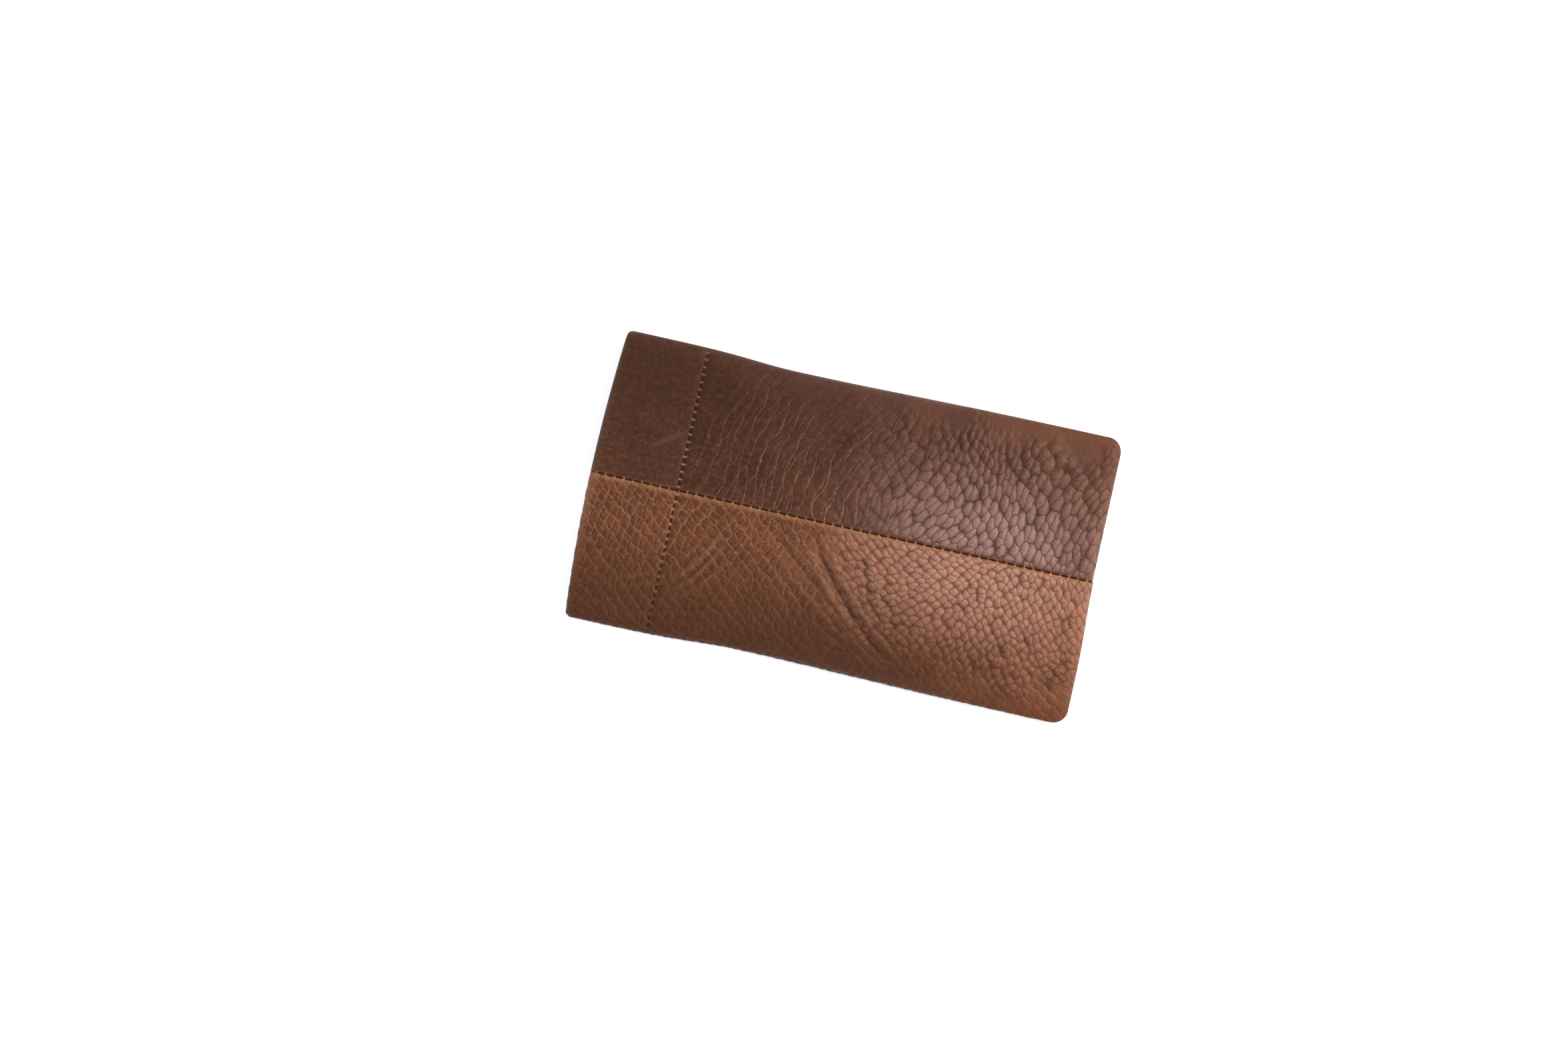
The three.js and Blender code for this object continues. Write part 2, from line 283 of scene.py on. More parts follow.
UPPER_FOLDS = [
    ((-20, 3), (-10, 20), (-3, 40), 1.6, -0.18),
    ((5, 3), (16, 20), (24, 42), 1.6, -0.25),
    ((36, 2), (44, 18), (52, 38), 1.8, -0.3),
    ((60, 2), (68, 18), (78, 36), 1.8, -0.28),
    ((-78, 12), (-70, 18), (-62, 22), 0.9, 0.16),
]
FOLDS = {UPPER: UPPER_FOLDS, LOWER: LOWER_FOLDS}


def undulation(x, y, seed):
    """Slow unevenness of soft leather, from a few crossing waves."""
    waves = np.random.default_rng(seed)
    total = 0 * x
    for _ in range(7):
        length = waves.uniform(22, 60)
        turn = waves.uniform(0, np.pi)
        shift = waves.uniform(0, 2 * np.pi)
        total = total + np.sin(2 * np.pi * (x * np.cos(turn) + y * np.sin(turn)) / length + shift)
    return total / 7


def relief(x, y, side, face):
    """Height to add to a panel's smooth shape, y counted from the centre seam."""
    part = y / half_width(x)
    signed = side * y
    calm = smooth(part, 1.0, 0.8)
    height = BODY_UNEVENNESS * undulation(x, signed, 11 + face) * calm * smooth(along_body(x), 0.0, 0.12)
    height += FINE_UNEVENNESS * undulation(2.3 * x, 2.3 * signed, 5 + face) * calm
    holes = pucker(y, x, CENTRE_ROW[0], CENTRE_PITCH)
    height -= seam_sink(y) * (1 - 0.65 * holes) + groove(x)
    seam_ridge = np.exp(-(((y - SHOULDER) / 1.6) ** 2))
    height += SEAM_RIDGE * seam_ridge
    channel_ridge = np.exp(-(((np.abs(x - CHANNEL_X) - 2.6) / 1.5) ** 2))
    height += CHANNEL_RIDGE * channel_ridge
    height += CHANNEL_PUCKER * pucker(x - CHANNEL_X, y, CHANNEL_ROW[0], CHANNEL_PITCH)
    if face == FRONT:
        for start, bend, end, width, size in FOLDS[side]:
            height += size * fold(x, signed, start, bend, end, width) * smooth(y, 0.5, 3.0)
    else:
        height = np.minimum(height, 0.0)
    return height


# ---------------------------------------------------------------- the panels

def spaced(start, end, step):
    """Shares from start to end, evenly spaced, without the last one."""
    count = max(int(round(abs(end - start) / step)), 1)
    return start + (end - start) * np.arange(count) / count


def across_columns(step):
    """Columns from the centre seam to the side: the share of the half width, and the lip's turn."""
    half = MOUTH_WIDTH / 2
    near = CENTRE_GAP + SHOULDER_ZONE * (np.arange(SHOULDER_COLUMNS) / SHOULDER_COLUMNS) ** 1.6
    middle = spaced(CENTRE_GAP + SHOULDER_ZONE, MOUTH_FLAT * half, step)
    side_steps = int(14 * 0.5 / step) + 4
    angle = np.linspace(0, np.pi / 2, side_steps)
    side = half * (MOUTH_FLAT + (1 - MOUTH_FLAT) * np.sin(angle))
    parts = np.concatenate([near, middle, side]) / half
    turns = np.zeros(len(parts))
    return np.concatenate([parts, np.ones(len(EDGE_TURNS))]), np.concatenate([turns, EDGE_TURNS])


def allowance(x):
    """How far the turned edge reaches inside, where the side is sewn."""
    sewn = smooth(x, CHANNEL_X, CHANNEL_X + 4) * smooth(x, LOWER_END - 12, LOWER_END - 20)
    return mix(SHORT_ALLOWANCE, SEAM_ALLOWANCE, sewn)


def lengthwise_rows(step):
    """Rows from the hem's end, round the mouth, to the tucked bottom edge."""
    rows = [("hem", share) for share in spaced(0, 1, 1 / HEM_ROWS)]
    rows += [("mouth", angle) for angle in spaced(-np.pi / 2, np.pi / 2, np.pi / MOUTH_ROWS)]
    rows += [("face", share) for share in spaced(0, 1, step / (LENGTH - MOUTH_ROLL - BOTTOM_ROLL))]
    rows += [("bottom", angle) for angle in np.linspace(np.pi / 2, 0, BOTTOM_ROWS)]
    rows += [("tuck", share) for share in END_TURNS]
    return rows


def panel_points(side, face, step):
    """The grain side of a panel as a grid of points, and each point's place on the flat leather."""
    parts, turns = across_columns(step)
    tucks = np.minimum(turns, 1)
    points = []
    places = []
    near_mouth = mouth_edge(parts) + MOUTH_ROLL
    near_bottom = bottom_edge(parts, side) - BOTTOM_ROLL
    for kind, value in lengthwise_rows(step):
        rise, lip, hem_share, unrolled = 1.0, 1.0, 0.0, 0.0
        if kind == "hem":
            x = mix(HEM_END, near_mouth, value)
            hem_share = 1.0
            unrolled = MOUTH_ROLL * 1.6 + (near_mouth - x)
        elif kind == "mouth":
            x = mouth_edge(parts) + MOUTH_ROLL * (1 - math.cos(value))
            hem_share = (1 - math.sin(value)) / 2
            unrolled = MOUTH_ROLL * 0.8 * (math.pi / 2 - value) / (math.pi / 2)
        elif kind == "face":
            x = mix(near_mouth, near_bottom, value)
        elif kind == "bottom":
            x = near_bottom + BOTTOM_ROLL * math.cos(value)
            rise = math.sin(value)
        else:
            x = near_bottom + BOTTOM_ROLL - SEAM_TUCK * value
            rise = 0.0
            lip = 1 - value
        half = half_width(x)
        hem_half = HEM_SIDE + 0 * x
        y = parts * mix(half, hem_half, smooth(np.float64(hem_share), 0.35, 1.0))
        y = y - SEAM_TUCK * tucks - (turns > 1) * allowance(x if kind == "face" else MOUTH_X)
        lips = SEAM_LIP * lip * (1 - tucks)
        full = crown(x, face) - SEAM_GAP - SEAM_LIP
        smooth_height = lips + full * rise * side_round(x, parts, face)
        keep = rise * np.clip(smooth_height / 2.5, 0, 1)
        outer = SEAM_GAP + smooth_height + relief(x, y, side, face) * keep
        if kind == "bottom":
            outer = np.maximum(outer, SEAM_GAP)
        height = mix(outer, HEM_GAP + 0 * x, hem_share)
        points.append(np.stack([x, side * y, SEAM_PLANE + face * height], axis=1))
        edge = mouth_edge(parts) + MOUTH_ROLL
        flat_x = np.where(hem_share > 0, edge - unrolled, x)
        places.append(np.stack([flat_x, side * y, 0 * x], axis=1))
    points, places = np.array(points), np.array(places)
    steps = np.diff(points, axis=1)
    extra = np.hypot(steps[..., 1], steps[..., 2]) - np.abs(steps[..., 1])
    extra *= smooth(parts[1:], 0.7, 0.9)
    places[:, 1:, 1] += side * np.cumsum(extra, axis=1)
    return points, places


def finish(points, places, side, face):
    """For each point, how far its grain stands up, how far it is worn to a shine, and how deep in a fold it
    lies. The shine lowers the roughness and also lightens the colour as a painted highlight; the fold depth
    darkens the colour as painted shade.
    """
    x, y = points[..., 0], np.abs(places[..., 1])
    grain = smooth(np.abs(points[..., 2] - SEAM_PLANE), 0.2, 1.6) * smooth(y, 0.8, 3.0)
    grain *= smooth(x, LOWER_END - 1, LOWER_END - 9) * (1.0 if face == FRONT else 0.5)
    edge = mouth_edge(np.clip(y / half_width(x), 0, 1))
    # The rolled mouth edge: worn to a shine, and lightened in colour as a painted highlight.
    roll = np.exp(-(((places[..., 0] - edge - 1.5) / 0.9) ** 2))
    polish_and_highlight = roll * (1.0 if side == LOWER else 0.35)
    fold_depth = 0 * x
    if face == FRONT:
        for start, bend, end, width, size in FOLDS[side]:
            line = fold(x, side * y, start, bend, end, width)
            # Fold ridges: worn to a shine and lightened as a painted highlight; fold creases: darkened as
            # painted shade.
            polish_and_highlight = np.maximum(polish_and_highlight, line * (size > 0) * min(size / 0.5, 0.8))
            fold_depth = np.maximum(fold_depth, line * (size < 0) * min(-size / 0.5, 1.0))
    return np.stack([grain, polish_and_highlight, fold_depth], axis=2)


def to_mesh(name, points, faces):
    mesh = bpy.data.meshes.new(name)
    mesh.from_pydata((np.asarray(points).reshape(-1, 3) * MM).tolist(), [], faces)
    mesh.polygons.foreach_set("use_smooth", [True] * len(mesh.polygons))
    mesh.update()
    return mesh


def grid_faces(rows, columns, flip=False):
    """Quads between the points of a grid."""
    row, column = np.meshgrid(np.arange(rows - 1), np.arange(columns - 1), indexing="ij")
    first = row * columns + column
    quads = np.stack([first, first + 1, first + columns + 1, first + columns], axis=-1).reshape(-1, 4)
    return (quads[:, ::-1] if flip else quads).tolist()


def new_object(name, mesh):
    piece = bpy.data.objects.new(name, mesh)
    bpy.context.scene.collection.objects.link(piece)
    return piece


def apply_modifiers(piece):
    """Leaves the piece with the mesh that its modifiers make."""
    graph = bpy.context.evaluated_depsgraph_get()
    mesh = bpy.data.meshes.new_from_object(piece.evaluated_get(graph), depsgraph=graph)
    piece.modifiers.clear()
    piece.data = mesh
    return piece


def store_vector(mesh, name, values):
    attribute = mesh.attributes.new(name, "FLOAT_VECTOR", "POINT")
    attribute.data.foreach_set("vector", np.asarray(values, np.float32).ravel())


# ---------------------------------------------------------------- nodes

class Nodes:
    """Adds nodes to a shader or geometry tree. Inputs are sockets or plain values."""

    def __init__(self, tree):
        self.tree = tree

    def add(self, kind, inputs=(), **settings):
        node = self.tree.nodes.new(kind)
        for key, value in settings.items():
            setattr(node, key, value)
        for key, value in dict(inputs).items():
            self.feed(node.inputs[key], value)
        return node

    def feed(self, socket, value):
        if isinstance(value, bpy.types.NodeSocket):
            self.tree.links.new(value, socket)
        else:
            socket.default_value = value

    def math(self, operation, a, b=0.0):
        return self.add("ShaderNodeMath", {0: a, 1: b}, operation=operation).outputs[0]

    def plus(self, a, b):
        return self.math("ADD", a, b)

    def times(self, a, *others):
        for other in others:
            a = self.math("MULTIPLY", a, other)
        return a

    def less(self, a, b):
        return self.math("SUBTRACT", a, b)

    def smooth(self, value, low, high, start=0.0, end=1.0):
        """start at low, end at high, and smooth between them. low may be the greater."""
        if low > high:
            low, high, start, end = high, low, end, start
        inputs = {"Value": value, "From Min": low, "From Max": high, "To Min": start, "To Max": end}
        node = self.add("ShaderNodeMapRange", inputs, interpolation_type="SMOOTHSTEP")
        return node.outputs["Result"]

    def dot(self, a, b):
        return self.add("ShaderNodeVectorMath", {0: a, 1: b}, operation="DOT_PRODUCT").outputs["Value"]

    def vector(self, operation, a, b):
        return self.add("ShaderNodeVectorMath", {0: a, 1: b}, operation=operation).outputs["Vector"]

    def scaled(self, a, factor):
        node = self.add("ShaderNodeVectorMath", {0: a, "Scale": factor}, operation="SCALE")
        return node.outputs["Vector"]

    def combine(self, x, y, z=0.0):
        return self.add("ShaderNodeCombineXYZ", {0: x, 1: y, 2: z}).outputs[0]

    def separate(self, a):
        return self.add("ShaderNodeSeparateXYZ", {0: a}).outputs

    def noise(self, at, scale, detail=2.0, rough=0.5):
        inputs = {"Vector": at, "Scale": scale, "Detail": detail, "Roughness": rough}
        return self.add("ShaderNodeTexNoise", inputs).outputs

    def voronoi(self, at, feature, jitter):
        inputs = {"Vector": at, "Scale": 1.0, "Randomness": jitter}
        settings = {"feature": feature, "voronoi_dimensions": "2D"}
        return self.add("ShaderNodeTexVoronoi", inputs, **settings).outputs["Distance"]

    def mix_colour(self, share, a, b):
        node = self.add("ShaderNodeMix", data_type="RGBA")
        self.feed(node.inputs[0], share)
        self.feed(node.inputs[6], a)
        self.feed(node.inputs[7], b)
        return node.outputs[2]


HALF = (0.5, 0.5, 0.5)


def direction(degrees):
    turn = math.radians(degrees)
    return math.cos(turn), math.sin(turn)


def wandering(nodes, place, seed):
    """The place, pushed about at two sizes, so that straight nets turn into natural ones."""
    at = nodes.vector("ADD", place, (seed * 41.0, seed * 17.0, seed * 5.0))
    bend = nodes.vector("SUBTRACT", nodes.noise(at, 0.022, 0.0)[1], HALF)
    wiggle = nodes.vector("SUBTRACT", nodes.noise(at, 0.30, 2.0, 0.55)[1], HALF)
    push = nodes.vector("ADD", nodes.scaled(bend, 17.0), nodes.scaled(wiggle, 1.9))
    return nodes.vector("ADD", place, push)


def net(nodes, at, lines, sizes, jitter, seed):
    """A net of cells whose edges run along two directions, in degrees, this far apart.

    It is kept as the place to sample it at and its jitter, which edges() and domes() take.
    """
    coordinates = []
    for degrees, size in zip(lines, sizes):
        x, y = direction(degrees)
        coordinates.append(nodes.plus(nodes.dot(at, (-y / size, x / size, 0.0)), seed * 7.3))
    where = nodes.combine(*coordinates)
    return where, jitter


def edges(nodes, cells):
    """Distance to the nearest edge of a net, as a share of a cell."""
    return nodes.voronoi(cells[0], "DISTANCE_TO_EDGE", cells[1])


def domes(nodes, cells):
    """1 at the middle of each cell, falling away as a round dome to the creases between them."""
    away = nodes.voronoi(cells[0], "F1", cells[1])
    return nodes.math("MAXIMUM", nodes.less(1.0, nodes.times(away, away, 1.7)), 0.0)


def crease(nodes, edge, width):
    """1 on the lines of a net, falling to 0 at width."""
    return nodes.smooth(edge, width, 0.0)


def long_creases(nodes, at, degrees, spacing, seed):
    """Long, wandering lines this far apart, each 1 on the line and fading a little way off it."""
    x, y = direction(degrees)
    sway = nodes.noise(nodes.vector("ADD", at, (seed * 29.0, 0.0, seed)), 0.05, 1.0)[0]
    phase = nodes.plus(nodes.dot(at, (-y / spacing, x / spacing, 0.0)), nodes.times(sway, 2.4))
    away = nodes.math("ABSOLUTE", nodes.less(nodes.math("FRACT", nodes.plus(phase, seed * 0.37)), 0.5))
    return nodes.smooth(away, 0.07, 0.0)


def wrinkles(nodes, at, degrees, along, across):
    """Thin lines that wander along one direction, from the middle contour of a stretched noise."""
    x, y = direction(degrees)
    where = nodes.combine(
        nodes.dot(at, (x / along, y / along, 0.0)), nodes.dot(at, (-y / across, x / across, 0.0)))
    level = nodes.math("ABSOLUTE", nodes.less(nodes.noise(where, 1.0, 2.0, 0.55)[0], 0.5))
    return nodes.smooth(level, 0.045, 0.0)


def ragged_place(nodes, place):
    """x, and the distance from the seam, moved about so that regions end raggedly."""
    x, y, _ = nodes.separate(place)
    shift = nodes.times(nodes.less(nodes.noise(place, 0.06, 2.0)[0], 0.5), 42.0)
    return nodes.plus(x, shift), nodes.plus(nodes.math("ABSOLUTE", y), shift)


def dark_grain(nodes, place):
    """Height in mm, light lines, dark creases, pebble tops and hairlines of the dark leather."""
    at = wandering(nodes, place, 1.0)
    x, across = ragged_place(nodes, place)
    pebbled = nodes.times(nodes.smooth(x, -26.0, 34.0), nodes.smooth(across, 53.0, 34.0))
    lined = nodes.times(nodes.smooth(x, -66.0, -34.0), nodes.smooth(x, 55.0, 12.0))
    lined = nodes.times(lined, nodes.smooth(across, 54.0, 34.0))
    pebbles = net(nodes, at, (65, -42), (2.8, 4.4), 0.68, 2.0)
    long_lines = nodes.plus(
        long_creases(nodes, at, 71, 4.6, 1.0), nodes.times(long_creases(nodes, at, 60, 4.0, 2.0), 0.7))
    hair = wrinkles(nodes, at, 62, 3.4, 1.1)
    dome = nodes.times(domes(nodes, pebbles), pebbled)
    light = nodes.times(long_lines, lined)
    dark = nodes.times(crease(nodes, edges(nodes, pebbles), 0.10), pebbled)
    height = nodes.less(nodes.times(dome, 0.56), nodes.times(light, 0.16))
    return height, light, dark, dome, hair


def light_grain(nodes, place):
    """Height in mm, light lines, dark creases, pebble tops and hairlines of the light leather."""
    at = wandering(nodes, place, 4.0)
    x, across = ragged_place(nodes, place)
    beaded = nodes.times(nodes.smooth(x, -18.0, 14.0), nodes.smooth(across, 54.0, 38.0))
    netted = nodes.less(1.0, nodes.times(beaded, 0.85))
    diamonds = net(nodes, at, (73, -35), (3.2, 3.5), 0.42, 4.0)
    beads = net(nodes, at, (-44, 48), (2.6, 3.1), 0.60, 5.0)
    net_edge = edges(nodes, diamonds)
    long_lines = nodes.plus(long_creases(nodes, at, 73, 4.6, 3.0), long_creases(nodes, at, -37, 4.2, 4.0))
    hair = wrinkles(nodes, at, -38, 2.4, 1.0)
    dome = nodes.times(domes(nodes, beads), beaded)
    swell = nodes.times(nodes.smooth(net_edge, 0.0, 0.3), netted)
    light = nodes.plus(crease(nodes, net_edge, 0.085), nodes.times(long_lines, 0.6))
    light = nodes.times(light, netted)
    dark = nodes.times(crease(nodes, edges(nodes, beads), 0.11), beaded)
    height = nodes.plus(nodes.times(dome, 0.48), nodes.times(swell, 0.16))
    return height, light, dark, dome, hair


GRAINS = {"dark_leather": dark_grain, "light_leather": light_grain}


def grain_geometry(slot):
    """A geometry tree that raises a sheet by its leather's grain, along its own normals."""
    tree = bpy.data.node_groups.new(slot + "_relief", "GeometryNodeTree")
    tree.interface.new_socket("Geometry", in_out="INPUT", socket_type="NodeSocketGeometry")
    tree.interface.new_socket("Geometry", in_out="OUTPUT", socket_type="NodeSocketGeometry")
    nodes = Nodes(tree)
    start, end = nodes.add("NodeGroupInput"), nodes.add("NodeGroupOutput")
    place = nodes.add("GeometryNodeInputNamedAttribute", {"Name": "place"}, data_type="FLOAT_VECTOR")
    height = GRAINS[slot](nodes, place.outputs["Attribute"])[0]
    finished = nodes.add("GeometryNodeInputNamedAttribute", {"Name": "finish"}, data_type="FLOAT_VECTOR")
    lift = nodes.times(height, nodes.separate(finished.outputs["Attribute"])[0], MM)
    offset = nodes.scaled(nodes.add("GeometryNodeInputNormal").outputs[0], lift)
    move = nodes.add("GeometryNodeSetPosition", {"Geometry": start.outputs[0], "Offset": offset})
    tree.links.new(move.outputs[0], end.inputs[0])
    return tree


# ---------------------------------------------------------------- materials

def new_material(name):
    material = bpy.data.materials.new(name)
    material.use_nodes = True
    tree = material.node_tree
    tree.nodes.clear()
    nodes = Nodes(tree)
    shader = nodes.add("ShaderNodeBsdfPrincipled")
    output = nodes.add("ShaderNodeOutputMaterial")
    tree.links.new(shader.outputs[0], output.inputs["Surface"])
    return material, nodes, shader


# Linear colours. The sheen's share, "edge" and "hair" say how strongly those marks show; "shoulder" is in
# mm. The colours for the tops of the grain and for the pale sheen are painted highlight, and the crease
# colour is the grain's own dark with painted shade.
LOOKS = {
    "dark_leather": {
        "mouth": (0.040, 0.0105, 0.0042, 1), "bottom": (0.092, 0.0300, 0.0180, 1),
        "deep": (0.022, 0.0058, 0.0024, 1), "line": (0.190, 0.092, 0.060, 1),
        "crease": (0.021, 0.0060, 0.0035, 1), "painted_top_highlight": (0.122, 0.054, 0.044, 1),
        "wear": (0.092, 0.0262, 0.0082, 1), "seam": (0.105, 0.040, 0.018, 1),
        "painted_sheen": (0.235, 0.140, 0.122, 1), "painted_sheen_share": 0.62, "edge": 0.45, "hair": 0.16, "shoulder": 1.6,
    },
    "light_leather": {
        "mouth": (0.088, 0.0250, 0.0082, 1), "bottom": (0.178, 0.0650, 0.0350, 1),
        "deep": (0.045, 0.0118, 0.0040, 1), "line": (0.235, 0.105, 0.053, 1),
        "crease": (0.050, 0.0145, 0.0060, 1), "painted_top_highlight": (0.235, 0.100, 0.060, 1),
        "wear": (0.125, 0.037, 0.0115, 1), "seam": (0.200, 0.083, 0.036, 1),
        "painted_sheen": (0.335, 0.185, 0.135, 1), "painted_sheen_share": 0.50, "edge": 0.78, "hair": 0.25, "shoulder": 2.6,
    },
}
SPECK = (0.34, 0.17, 0.085, 1)
SPECULAR_TINT = (1.0, 0.66, 0.50, 1)
SPECULAR_LEVEL = 0.24
SEAM_DARK = (0.010, 0.0042, 0.0028, 1)


def leather_fields(nodes, slot):
    """What the leather's colour, roughness and bump are made from, at each place on the flat leather."""
    place = nodes.add("ShaderNodeAttribute", attribute_name="place").outputs["Vector"]
    finished = nodes.add("ShaderNodeAttribute", attribute_name="finish").outputs["Vector"]
    x, y, _ = nodes.separate(place)
    _, polish_and_highlight, folded = nodes.separate(finished)
    height, light, dark, tops, hair = GRAINS[slot](nodes, place)
    mottle = nodes.noise(place, 0.55, 5.0, 0.7)[0]
    return SimpleNamespace(
        x=x, from_seam=nodes.math("ABSOLUTE", y), polish_and_highlight=polish_and_highlight, folded=folded,
        height=height, light=light, dark=dark, tops=tops, hair=hair, mottle=mottle,
        blotch=nodes.noise(place, 0.07, 4.0, 0.6)[0],
        fibre=nodes.noise(place, 3.0, 4.0, 0.75)[0],
        patchy=nodes.smooth(mottle, 0.36, 0.62),
        bottomward=nodes.smooth(x, -55.0, 65.0))


def grain_colour_with_painted_light(nodes, look, at):
    """The base colour, lighter toward the bottom end and uneven at three sizes, with light pulled-up lines,
    darker creases (grain colour with painted shade) and lighter tops (painted highlight).
    """
    colour = nodes.mix_colour(at.bottomward, look["mouth"], look["bottom"])
    colour = nodes.mix_colour(nodes.times(nodes.smooth(at.blotch, 0.62, 0.36), 0.7), colour, look["deep"])
    colour = nodes.mix_colour(nodes.times(nodes.smooth(at.mottle, 0.45, 0.72), 0.2), colour, look["line"])
    colour = nodes.mix_colour(nodes.times(nodes.smooth(at.fibre, 0.50, 0.34), 0.60), colour, look["deep"])
    colour = nodes.mix_colour(nodes.times(nodes.smooth(at.fibre, 0.52, 0.70), 0.40), colour, look["line"])
    # Painted highlight: the tops of the grain turned lighter and mauve, as the sheen on them shows.
    colour = nodes.mix_colour(nodes.times(at.tops, at.tops, at.patchy, 0.75), colour, look["painted_top_highlight"])
    # Painted shade with the grain's own dark: the creases of the net, and the hairlines on the tops,
    # darkened.
    creased = nodes.times(at.dark, nodes.smooth(at.mottle, 0.66, 0.36, 0.15, 0.75))
    colour = nodes.mix_colour(creased, colour, look["crease"])
    colour = nodes.mix_colour(nodes.times(at.hair, at.tops, 0.6), colour, look["crease"])
    light_hair = nodes.times(at.hair, at.patchy, nodes.less(1.0, at.tops), look["hair"])
    colour = nodes.mix_colour(light_hair, colour, look["line"])
    broken = nodes.plus(nodes.times(at.patchy, 0.45), 0.35)
    lines = nodes.times(nodes.math("MINIMUM", at.light, 1.0), broken)
    return nodes.mix_colour(lines, colour, look["line"])


def worn_colour(nodes, look, at, colour):
    """The sides and the bottom end are worn to a warmer brown, and more so toward the bottom."""
    rim = nodes.smooth(nodes.plus(at.from_seam, nodes.times(at.mottle, 5.0)), 44.0, 55.0)
    end = nodes.smooth(nodes.plus(at.x, nodes.times(at.mottle, 5.0)), 86.0, 97.0)
    far = nodes.smooth(at.x, 0.0, 85.0)
    rim = nodes.times(rim, nodes.plus(nodes.times(far, 0.85), 0.10))
    worn = nodes.math("MAXIMUM", rim, nodes.times(end, 0.3))
    return nodes.mix_colour(nodes.times(worn, nodes.smooth(at.fibre, 0.2, 0.6)), colour, look["wear"])


def row_phase(nodes, along, start, pitch):
    """1 between two stitches of a row, and -1 at the middle of a stitch."""
    return nodes.math("COSINE", nodes.times(nodes.less(along, start), 2 * math.pi / pitch))


def seam_colour(nodes, look, at, colour):
    """The stretched shoulder by the centre seam, and each row's light flecks and dark holes."""
    shoulder = nodes.times(
        nodes.smooth(at.from_seam, look["shoulder"], 0.6), nodes.smooth(at.mottle, 0.2, 0.55))
    colour = nodes.mix_colour(nodes.times(shoulder, 0.8), colour, look["seam"])
    from_row = nodes.math("ABSOLUTE", nodes.less(at.x, CHANNEL_X))
    channel = row_phase(nodes, at.from_seam, CHANNEL_ROW[0], CHANNEL_PITCH)
    centre = row_phase(nodes, at.x, CENTRE_ROW[0], CENTRE_PITCH)
    channel_fleck = nodes.times(
        nodes.smooth(channel, 0.72, 0.97), nodes.smooth(from_row, 0.9, 0.4),
        nodes.smooth(at.fibre, 0.3, 0.5))
    centre_fleck = nodes.times(
        nodes.smooth(centre, 0.75, 0.98), nodes.smooth(at.from_seam, 0.9, 0.45), at.patchy)
    flecks = nodes.math("MAXIMUM", channel_fleck, centre_fleck)
    colour = nodes.mix_colour(nodes.times(flecks, 0.7), colour, SPECK)
    in_channel = nodes.times(nodes.smooth(from_row, 0.5, 0.2), nodes.smooth(channel, 0.5, -0.2), 0.7)
    in_centre = nodes.times(nodes.smooth(at.from_seam, 0.45, 0.15), nodes.smooth(centre, 0.9, 0.2))
    return nodes.mix_colour(nodes.math("MAXIMUM", in_channel, in_centre), colour, SEAM_DARK)


def polish_and_painted_light_colour(nodes, look, at, colour):
    """Painted highlight on the rolled mouth edge and the fold ridges, painted shade in the folds, darker
    toward the sides, and a pale painted sheen on the tops of the grain beside the centre seam, over the
    bottom half."""
    # Painted highlight on the rolled mouth edge and the fold ridges.
    polish_highlight = nodes.times(at.polish_and_highlight, nodes.smooth(at.fibre, 0.3, 0.6), 0.85)
    colour = nodes.mix_colour(polish_highlight, colour, look["line"])
    # Painted shade in the folds.
    colour = nodes.mix_colour(nodes.times(at.folded, 0.6), colour, look["crease"])
    sideward = nodes.smooth(at.from_seam, 6.0, 46.0)
    edgeward = nodes.times(sideward, nodes.smooth(at.x, 95.0, 20.0, 0.25, look["edge"]))
    colour = nodes.mix_colour(edgeward, colour, look["deep"])
    # Painted sheen: the tops of the grain beside the centre seam, over the bottom half, turned pale and
    # mauve.
    painted_sheen = nodes.times(nodes.smooth(at.from_seam, 42.0, 6.0), nodes.smooth(at.x, -25.0, 50.0), look["painted_sheen_share"])
    painted_sheen = nodes.times(painted_sheen, nodes.smooth(at.x, 98.0, 62.0, 0.3, 1.0))
    on_tops = nodes.smooth(at.tops, 0.1, 0.8, 0.25, 1.2)
    speckle = nodes.times(on_tops, nodes.smooth(at.fibre, 0.36, 0.62, 0.25, 1.25))
    off_creases = nodes.less(1.0, nodes.times(at.dark, 0.7))
    painted_sheen = nodes.times(painted_sheen, nodes.smooth(at.from_seam, 0.6, 1.6), speckle, off_creases)
    return nodes.mix_colour(painted_sheen, colour, look["painted_sheen"])


def leather_roughness(nodes, at):
    rough = nodes.less(0.52, nodes.times(at.bottomward, 0.06))
    rough = nodes.less(rough, nodes.times(at.polish_and_highlight, 0.14))
    rough = nodes.plus(rough, nodes.times(nodes.less(at.mottle, 0.5), 0.5))
    return nodes.plus(rough, nodes.times(nodes.plus(at.light, at.dark), 0.15))


def leather_bump(nodes, at):
    """The grain that is finer than the mesh, in millimetres, with some of the grain's own height."""
    fine = nodes.plus(nodes.times(at.fibre, 0.10), nodes.times(at.mottle, 0.14))
    fine = nodes.less(fine, nodes.times(nodes.plus(at.light, at.dark), 0.07))
    fine = nodes.less(fine, nodes.times(at.hair, 0.035))
    fine = nodes.plus(fine, nodes.times(at.height, 0.7))
    inputs = {"Height": nodes.times(fine, MM), "Distance": 1.0, "Strength": 1.0}
    return nodes.add("ShaderNodeBump", inputs).outputs[0]


